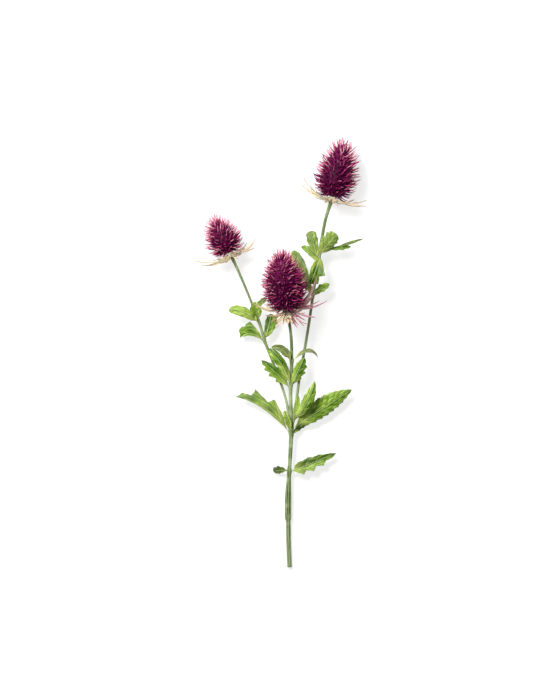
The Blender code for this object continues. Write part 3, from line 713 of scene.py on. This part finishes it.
def leaf_surface(leaf):
    """The leaf's points and what its finish reads.

    The midrib is the parabola through root, middle and tip. The half width is a power of a sine whose peak is
    moved to the belly, less the notches. The blade puffs by a squared sine between two side veins.
    """
    side = math.radians(leaf.side)
    near = [leaf.height - 0.5, leaf.height, leaf.height + 0.5]
    ahead, right, up = (v[1] for v in path_frames(stem_points(leaf.stem, near)))
    outward = math.cos(side) * right + math.sin(side) * up
    root = stem_points(leaf.stem, near[1:2])[0] + outward * (stem_radius(leaf.stem, leaf.height) - ROOT_SUNK)
    middle, tip = np.array(leaf.middle, float), np.array(leaf.tip, float)
    chord = unit(tip - root)
    level = unit(np.cross(chord, (0, 0, 1)))
    roll = math.radians(leaf.roll)
    spread = math.cos(roll) * level + math.sin(roll) * np.cross(level, chord)
    clasp = np.cross(outward, ahead)
    clasp = clasp if clasp @ spread > 0 else -clasp

    share = np.linspace(0, 1, leaf.teeth * ROWS_A_TOOTH)
    across = np.linspace(-1, 1, ACROSS)
    s = share[:, None]
    centre = root * (1 - s) * (1 - 2 * s) + middle * 4 * s * (1 - s) + tip * s * (2 * s - 1)
    forward = unit(root * (4 * s - 3) + middle * (4 - 8 * s) + tip * (4 * s - 1))
    turned = np.clip(s / TURN_SHARE, 0, 1)
    turned = turned**2 * (3 - 2 * turned)
    sideways = clasp * (1 - turned) + spread * turned
    sideways = unit(sideways - forward * np.sum(sideways * forward, 1, keepdims=True))
    upward = np.cross(sideways, forward)

    along = np.clip(share - leaf.stalk, 0, None) / (1 - leaf.stalk)
    swell = np.sin(math.pi * along ** (math.log(0.5) / math.log(leaf.belly))).clip(0) ** leaf.point
    fine = 1 - FINE_DEPTH * notch(along, leaf.teeth * FINE_TEETH)
    gap = notch(along, leaf.teeth) ** leaf.lobe
    edges = [width * swell * (1 - depth * gap) * fine for width, depth in (leaf.left, leaf.right)]
    edges = [np.maximum(edge, np.maximum(STALK_WIDTH / 2 * (1 - share), LEAST_HALF)) for edge in edges]
    h = np.where(across < 0, edges[0][:, None], edges[1][:, None])
    a = np.abs(across)[None]
    length = np.linalg.norm(np.diff(centre, axis=0), axis=1).sum()
    blade_share = (along[:, None] - TOOTHLESS) / (1 - TOOTHLESS)
    width = max(leaf.left[0], leaf.right[0])
    vein_count = leaf.teeth * (blade_share + VEIN_SLOPE * width / length * (1 - a)) - TOOTH_PEAK
    puff = PUFF * 2 * width * np.sin(math.pi * vein_count) ** 2 * swell[:, None] * (1 - a**4) * a**0.5
    ripple = RIPPLE * np.sin(math.pi * leaf.teeth * s + across[None]) * h
    lift = (leaf.fold * h + ripple) * a * turned + puff * turned
    slant = leaf.slant * h * a * turned * (1 - s**6)
    points = centre[:, None] + sideways[:, None] * (h * across[None])[..., None]
    points = points + upward[:, None] * lift[..., None] + forward[:, None] * slant[..., None]
    numbers = {
        "rib_distance": h * a / (0.35 + 0.65 * (1 - s)),
        "crosswise": h * across[None],
        "lengthwise": np.broadcast_to(s * length, points.shape[:2]),
        "vein_count": vein_count + 8,
        "rim": np.broadcast_to(a**3, points.shape[:2]),
        "tone": np.full(points.shape[:2], leaf.tone),
        "dull": np.full(points.shape[:2], leaf.dull),
        "shaded": np.broadcast_to(leaf.shaded * np.clip(across * 3, -1, 1), points.shape[:2]),
        "share": np.broadcast_to(s, points.shape[:2]),
    }
    return on_table(points, LEAF_CLEAR), numbers


# %% The leaves
for name, leaf in LEAVES.items():
    points, numbers = leaf_surface(leaf)
    faces = grid_faces(*points.shape[:2])
    sheet = make_piece(
        "veined_" + name, points, faces, numbers, leaf_green, [name], closed=False
    )
    thicken(sheet, LEAF_THICK)
print("rows of the largest leaf:", LEAVES["leaf_fork_1"].teeth * ROWS_A_TOOTH)

# %% [markdown]
# A head is an egg with a spine at every turn of a golden-angle spiral, the pattern that packs seeds evenly
# on many flowers. Each spine leaves the egg at a right angle and bends towards the crown, thick at the root
# and sharp at the tip. All spines of a head are worked out in one array: spine, ring, side.


# %% Where a head stands
def head_place(head):
    """The base of the head's egg, and three rows: its own x, y and z in the frame. z runs up the head."""
    lean, lift = math.radians(head["lean"]), math.radians(head["lift"])
    axis = np.array([math.sin(lean) * math.cos(lift), math.cos(lean) * math.cos(lift), math.sin(lift)])
    side = unit(np.cross(axis, (0, 0, 1)))
    top = STEMS[head["stem"]]["line"][-1][0]
    base = stem_points(head["stem"], [top])[0] + axis * (CUP_HEIGHT + 3 * GAP)
    return base, np.array([-side, np.cross(side, axis), axis])


def egg(head, rise, turn):
    """A point of the egg and its outward normal. Rise runs from 0 at the base to pi at the crown."""
    out = head["radius"] * np.sin(rise) * (1 + EGG_TAPER * np.cos(rise))
    widening = head["radius"] * (np.cos(rise) + EGG_TAPER * np.cos(2 * rise))
    climb = head["length"] / 2 * np.sin(rise)
    point = np.stack([out * np.cos(turn), out * np.sin(turn), head["length"] / 2 * (1 - np.cos(rise))], -1)
    return point, unit(np.stack([climb * np.cos(turn), climb * np.sin(turn), -widening], -1) + 1e-9)


# %% The spiny heads
SPINES = {"front": 620, "top": 430, "left": 320}
BLOOM = {"front": 0.0, "top": 0.06, "left": 0.22}  # how much lighter all spines of a head are
CORE_SWELL = 1.06  # how much fuller the felt between the spines is than the bare egg
SPINE_SIDES = 6
SPINE_RINGS = np.array([-0.08, 0.1, 0.35, 0.62, 0.86, 1.0])
SPINE_GIRTH = np.array([1.15, 0.9, 0.58, 0.36, 0.18, 0.0])
# A spine's rise in degrees: everywhere, gained evenly towards the crown, at the crown and at the base.
SPINE_RISE = (14.0, 22.0, 47.0, -40.0)
END_POWER = 8  # how near to its end of the head each of the last two sets in
SPINE_SCATTER = 0.3  # how far a spine's aim may stray
SPINE_LENGTH = (0.9, 1.25)
SPINE_STOUTNESS = (0.85, 1.15)
ELBOW = 0.4  # share of its length that a spine runs along the normal before it bends
CROWN_GROWTH = 0.1
CROWN_THINNING = 0.15  # share of the spines that are missing at the crown
FOOT_SCATTER = 0.3  # how far a spine may stand from its place in the spiral, in steps from one to the next
GOLDEN_ANGLE = math.pi * (3 - math.sqrt(5))
POLE = 0.02  # how near to the poles of the egg its points go, in radians
CORE_ROWS, CORE_SIDES = 40, 48
HEAD_CLEAR = 0.1  # least height above the table
HEAD_SEED, BRACT_SEED = 40, 70


def spine_points(head, count, draw):
    """Every spine as rings on a curve that leaves its foot along the normal and bends over to its aim."""
    k = np.arange(count) + 0.5
    pitch = FOOT_SCATTER * math.sqrt(4 * math.pi / count)
    climb = np.arccos(1 - 2 * k / count)
    stray = draw.uniform(-pitch, pitch, (2, count))
    turn = k * GOLDEN_ANGLE + stray[1] / np.maximum(np.sin(climb), 0.15)
    foot, normal = egg(head, np.clip(climb + stray[0], POLE, math.pi - POLE), turn)
    share = foot[:, 2] / head["length"]
    kept = (foot[:, 2] > BARE_BASE) & (draw.uniform(0, 1, count) > CROWN_THINNING * share**3)
    foot, normal, share = foot[kept], normal[kept], share[kept]
    start, even, late, early = SPINE_RISE
    rise = np.radians(start + even * share + late * share**END_POWER + early * (1 - share) ** END_POWER)
    outward = unit(foot * (1, 1, 0) + 1e-9)
    aim = outward * np.cos(rise)[:, None] + np.array([0, 0, 1.0]) * np.sin(rise)[:, None]
    aim = unit(aim + draw.uniform(-1, 1, aim.shape) * SPINE_SCATTER)
    length = head["spine"] * (draw.uniform(*SPINE_LENGTH, len(foot)) + CROWN_GROWTH * share**4)[:, None]
    elbow, tip = foot + normal * length * ELBOW, foot + aim * length
    t = SPINE_RINGS[None, :, None]
    curve = foot[:, None] * (1 - t) ** 2 + elbow[:, None] * 2 * t * (1 - t) + tip[:, None] * t**2
    forward = unit(2 * (1 - t) * (elbow - foot)[:, None] + 2 * t * (tip - elbow)[:, None])
    right = unit(np.cross(forward, unit(foot - (0, 0, head["length"] * 0.45))[:, None] + 0.01))
    up = np.cross(right, forward)
    angle = np.linspace(0, 2 * math.pi, SPINE_SIDES, endpoint=False)
    stoutness = draw.uniform(*SPINE_STOUTNESS, len(foot))
    girth = SPINE_GIRTH[None, :, None, None] * stoutness[:, None, None, None]
    ring = right[:, :, None] * np.cos(angle)[:, None] + up[:, :, None] * np.sin(angle)[:, None]
    return curve[:, :, None] + girth * ring, share


def spine_faces(count):
    """The faces of all the cones: quads up each one, a fan to its tip and a cap on its hidden root."""
    rings = len(SPINE_RINGS) - 1
    cone = grid_faces(rings, SPINE_SIDES, around=True)
    last = (rings - 1) * SPINE_SIDES
    cone += [[last + i, last + (i + 1) % SPINE_SIDES, rings * SPINE_SIDES] for i in range(SPINE_SIDES)]
    cone.append(list(range(SPINE_SIDES))[::-1])
    size = rings * SPINE_SIDES + 1
    return [[size * k + corner for corner in face] for k in range(count) for face in cone]


for order, (name, head) in enumerate(HEADS.items()):
    draw = np.random.default_rng(HEAD_SEED + order)
    base, axes = head_place(head)
    cones, share = spine_points(head, SPINES[name], draw)
    count, rings = cones.shape[:2]
    shade = draw.uniform(0, 1, count) + BLOOM[name]
    # The ring at a tip has no width, so only its first point is kept.
    cones = cones.reshape(count, -1, 3)[:, : (rings - 1) * SPINE_SIDES + 1]
    rise = np.linspace(POLE, math.pi - POLE, CORE_ROWS)
    turn = np.linspace(0, 2 * math.pi, CORE_SIDES, endpoint=False)
    core = egg(head, *np.meshgrid(rise, turn, indexing="ij"))[0] * (CORE_SWELL, CORE_SWELL, 1)
    points, faces = merged([(cones, spine_faces(count)), (core, tube_faces(CORE_ROWS, CORE_SIDES))])
    ring_share = np.append(np.repeat(SPINE_RINGS[:-1], SPINE_SIDES), 1.0)
    bare = np.zeros(CORE_ROWS * CORE_SIDES)
    bare_share = core[..., 2].ravel() / head["length"]
    numbers = {
        "along": np.concatenate([np.broadcast_to(ring_share, cones.shape[:2]).ravel(), bare]),
        "crown": np.concatenate([np.repeat(share, cones.shape[1]), bare_share]),
        "shade": np.concatenate([np.repeat(shade, cones.shape[1]), bare]),
    }
    placed = on_table(base + points @ axes, HEAD_CLEAR)
    make_piece("spiny_head_" + name, placed, faces, numbers, head_burgundy, ["head_" + name])
    print("spines of the", name, "head:", count)

# %% [markdown]
# The bracts grow from a small cup under each head. A bract is a narrow strap with a shallow channel along
# it. It leaves the cup sideways, sags, and curls up at its tip; the ones that face up hang over towards the
# stem. The long ones are those of the table. A seeded generator draws the shorter ones beside them and the
# apron of narrow ones in front, and gives each its twist.

# %% The whorls of bracts
BRACT_THICK = 0.45
BRACT_SAG = 2.6  # how far a bract bellies towards the stem half way along
BRACT_ROWS, BRACT_COLUMNS = 26, 5
BRACT_START = 2.2  # from the middle of the cup, mm
BRACT_STEP = 0.55  # every other bract leaves the cup this much higher than its middle, the rest lower
TWIST = (0.8, 1.5)  # how far a bract on the left or right turns over, in radians
TWIST_SHARE = 0.4  # share of a bract's length over which it does so
SWEEP = 0.1  # how far a tip may swing aside, in radians
BRACT_TIP = 0.12  # half the width of a bract at its tip, mm
NARROWING, WIDE = 2.4, 1.6  # power by which a bract narrows, and half the width from which it is blunter
UPTURN, DOWNTURN = 2.2, 1.4  # how late a bract turns up or down, as a power of the share of its length
BLUSH = {"front": 1.0, "top": 0.15, "left": 0.1}
BLUSH_WIDTH = 3.2  # bracts wider than this blush less
BLUSH_RANGE = (0.7, 1.0)
WIDENING = {"front": 1.85, "top": 1.1, "left": 1.1}
COMPANIONS = 2  # shorter bracts beside each long one
COMPANION_SHARE = (0.45, 0.85)  # of the long one's reach
COMPANION_TURN = 14  # degrees from it at most
COMPANION_RISE = (-4, 2)  # added to its rise
COMPANION_WIDTH = 0.8  # of its width
# The apron of bracts that hangs in front of each whorl: how many, and the ranges of their reach and rise.
APRON = {"front": (13, (15, 28), (-17, -8)), "top": (7, (9, 16), (-5, 0)), "left": (6, (9, 15), (-5, 0))}
APRON_ANGLES = (28, 152)
APRON_WIDTH = 2.1
SLIDE_BELOW, BRACT_CLEAR = 0.7, 0.4  # heights above the table: below the first a bract slides along it
CUP_SIDES = 24
CUP_BEVEL = 0.3
POINT = 0.05  # radius of a ring that closes the cup


def bract_points(angle, reach, rise, half_width, drop, twist, sweep):
    """A strap from the cup to its reach and rise: it bellies by a sine and swings aside by a square.

    It turns over in its first part, and ends in a point that is blunter where the strap is wide.
    """
    rows, columns = np.linspace(0, 1, BRACT_ROWS), np.linspace(-1, 1, BRACT_COLUMNS)
    share, across = np.meshgrid(rows, columns, indexing="ij")
    out = BRACT_START + (reach - BRACT_START) * share
    late = UPTURN if rise > 0 else DOWNTURN
    blunt = NARROWING * max(half_width / WIDE, 1)
    along = -CUP_HEIGHT / 2 - GAP - drop - BRACT_SAG * np.sin(math.pi * share) + rise * share**late
    half = half_width * (0.7 + 0.3 * np.sin(math.pi * (0.1 + 0.62 * share))) * (1 - share**blunt) + BRACT_TIP
    sideways = half * across
    heading = angle + sweep * share**2
    turned = twist * np.sin(math.pi / 2 * np.clip(share / TWIST_SHARE, 0, 1))
    flat = sideways * np.cos(turned)
    channel = -0.4 * half * (1 - across**2)
    point = np.stack([
        out * np.cos(heading) - flat * np.sin(heading),
        out * np.sin(heading) + flat * np.cos(heading),
        along + sideways * np.sin(turned) + channel,
    ], -1)
    return point, share, np.abs(across)


def cup_points():
    """A small cup: rings whose radius widens from the stem to the head, closed at both ends."""
    low, high = CUP_RADIUS
    radius = np.array([POINT, low - CUP_BEVEL, low, high, high - CUP_BEVEL, POINT])[:, None]
    height = np.array([-CUP_HEIGHT, -CUP_HEIGHT, CUP_BEVEL - CUP_HEIGHT, -CUP_BEVEL, 0, 0])[:, None] - GAP
    angle = np.linspace(0, 2 * math.pi, CUP_SIDES, endpoint=False)
    return np.stack([radius * np.cos(angle), radius * np.sin(angle), np.repeat(height, CUP_SIDES, 1)], -1)


for order, (name, head) in enumerate(HEADS.items()):
    draw = np.random.default_rng(BRACT_SEED + order)
    base, axes = head_place(head)
    parts, alongs, acrosses, blushes = [], [], [], []
    inner = []
    for angle, reach, rise, width in BRACTS[name] * COMPANIONS:
        part = draw.uniform(*COMPANION_SHARE)
        angle += draw.uniform(-COMPANION_TURN, COMPANION_TURN)
        rise = rise * part**2 + draw.uniform(*COMPANION_RISE)
        inner.append((angle, reach * part, rise, width * COMPANION_WIDTH))
    hung, reaches, rises = APRON[name]
    for angle in np.linspace(*APRON_ANGLES, hung):
        inner.append((angle, draw.uniform(*reaches), draw.uniform(*rises), APRON_WIDTH))
    for k, (angle, reach, rise, width) in enumerate(BRACTS[name] + inner):
        heading = math.radians(angle)
        drop = BRACT_STEP if k % 2 else -BRACT_STEP
        twist = draw.uniform(*TWIST) * math.cos(heading)
        half = width / 2 * WIDENING[name]
        sweep = draw.uniform(-SWEEP, SWEEP)
        strap, share, across = bract_points(heading, reach, rise, half, drop, twist, sweep)
        parts.append((strap, grid_faces(BRACT_ROWS, BRACT_COLUMNS)))
        alongs.append(share)
        acrosses.append(across)
        # The right side of the whorl blushes and the left hardly does.
        turned_right = min(max(-0.2 - 2.5 * math.cos(heading), 0.1), 1.0)
        pale = min(BLUSH_WIDTH / width, 1)
        blush = BLUSH[name] * turned_right * pale * draw.uniform(*BLUSH_RANGE)
        blushes.append(np.full(share.shape, blush))
    points, faces = merged(parts)
    placed = base + points @ axes
    # What would go into the table slides along it towards the foot of the stem instead.
    placed[:, 1] -= np.clip(SLIDE_BELOW - placed[:, 2], 0, None)
    numbers = {"along": np.concatenate([a.ravel() for a in alongs])}
    numbers["across"] = np.concatenate([a.ravel() for a in acrosses])
    numbers["blush"] = np.concatenate([b.ravel() for b in blushes])
    whorl = make_piece(
        "pale_bracts_" + name, on_table(placed, BRACT_CLEAR), faces, numbers, bract_cream,
        ["bracts_" + name], closed=False,
    )
    thicken(whorl, BRACT_THICK)
    cup = cup_points()
    quiet = {key: np.zeros(cup.shape[:2]) for key in numbers}
    make_piece(
        "cup_" + name, base + cup @ axes, tube_faces(*cup.shape[:2]), quiet, bract_cream,
        ["bracts_" + name],
    )
    print("bracts of the", name, "head:", len(parts))

# %% [markdown]
# The table is a plain white sheet, large enough to fill every view. Soft light comes from all round and a
# wide lamp hangs above the top left corner, so the shadows are short and pale.

# %% The table
TABLE = 9.0
table_finish = Finish(
    "table_white", Roughness=0.9, Base_Color=(0.36, 0.36, 0.36, 1), Specular_IOR_Level=0.0,
    Emission_Color=(1, 1, 1, 1), Emission_Strength=0.72,
)
bpy.ops.mesh.primitive_plane_add(size=TABLE)
table = bpy.context.object
table.name = "table"
table.data.materials.append(table_finish.material)

# %% Light
world = bpy.data.worlds.new("soft_white")
world.use_nodes = True
world.node_tree.nodes["Background"].inputs["Color"].default_value = (1, 1, 1, 1)
world.node_tree.nodes["Background"].inputs["Strength"].default_value = 0.34
scene.world = world
scene.view_settings.view_transform = "Standard"


def add_lamp(name, place, watts, size):
    """A square lamp at this place, in metres, that faces the middle of the table."""
    lamp = bpy.data.lights.new(name, "AREA")
    lamp.energy = watts
    lamp.size = size
    made = bpy.data.objects.new(name, lamp)
    scene.collection.objects.link(made)
    made.location = place
    made.rotation_euler = (-made.location).to_track_quat("-Z", "Y").to_euler()


add_lamp("key", (-0.6, 0.75, 1.25), 36, 0.6)

# %% [markdown]
# The camera looks straight down on the spray through a long lens, as if it stood in the distance in front
# of an upright flower. Its height follows from the lens and from how much of the table the picture has to
# show.

# %% Camera
LENS = 200.0
SENSOR = 36.0
MM_PER_PIXEL = 1.1
PICTURE = (560, 700)
FOOT_PIXEL = (290, 568)  # where the foot of the stem is in the photograph
SHARP_HEIGHT = 20.0  # the height above the table at which the scale holds, mm

camera_data = bpy.data.cameras.new("camera")
camera_data.lens = LENS
camera_data.sensor_width = SENSOR
camera = bpy.data.objects.new("camera", camera_data)
scene.collection.objects.link(camera)
across_mm = (PICTURE[0] / 2 - FOOT_PIXEL[0]) * MM_PER_PIXEL + FOOT[0]
up_mm = (FOOT_PIXEL[1] - PICTURE[1] / 2) * MM_PER_PIXEL + FOOT[1]
distance = LENS * PICTURE[1] * MM_PER_PIXEL / SENSOR
camera.location = (across_mm * MM, up_mm * MM, (distance + SHARP_HEIGHT) * MM)
scene.camera = camera
print("camera height:", round(camera.location.z, 3), "m")
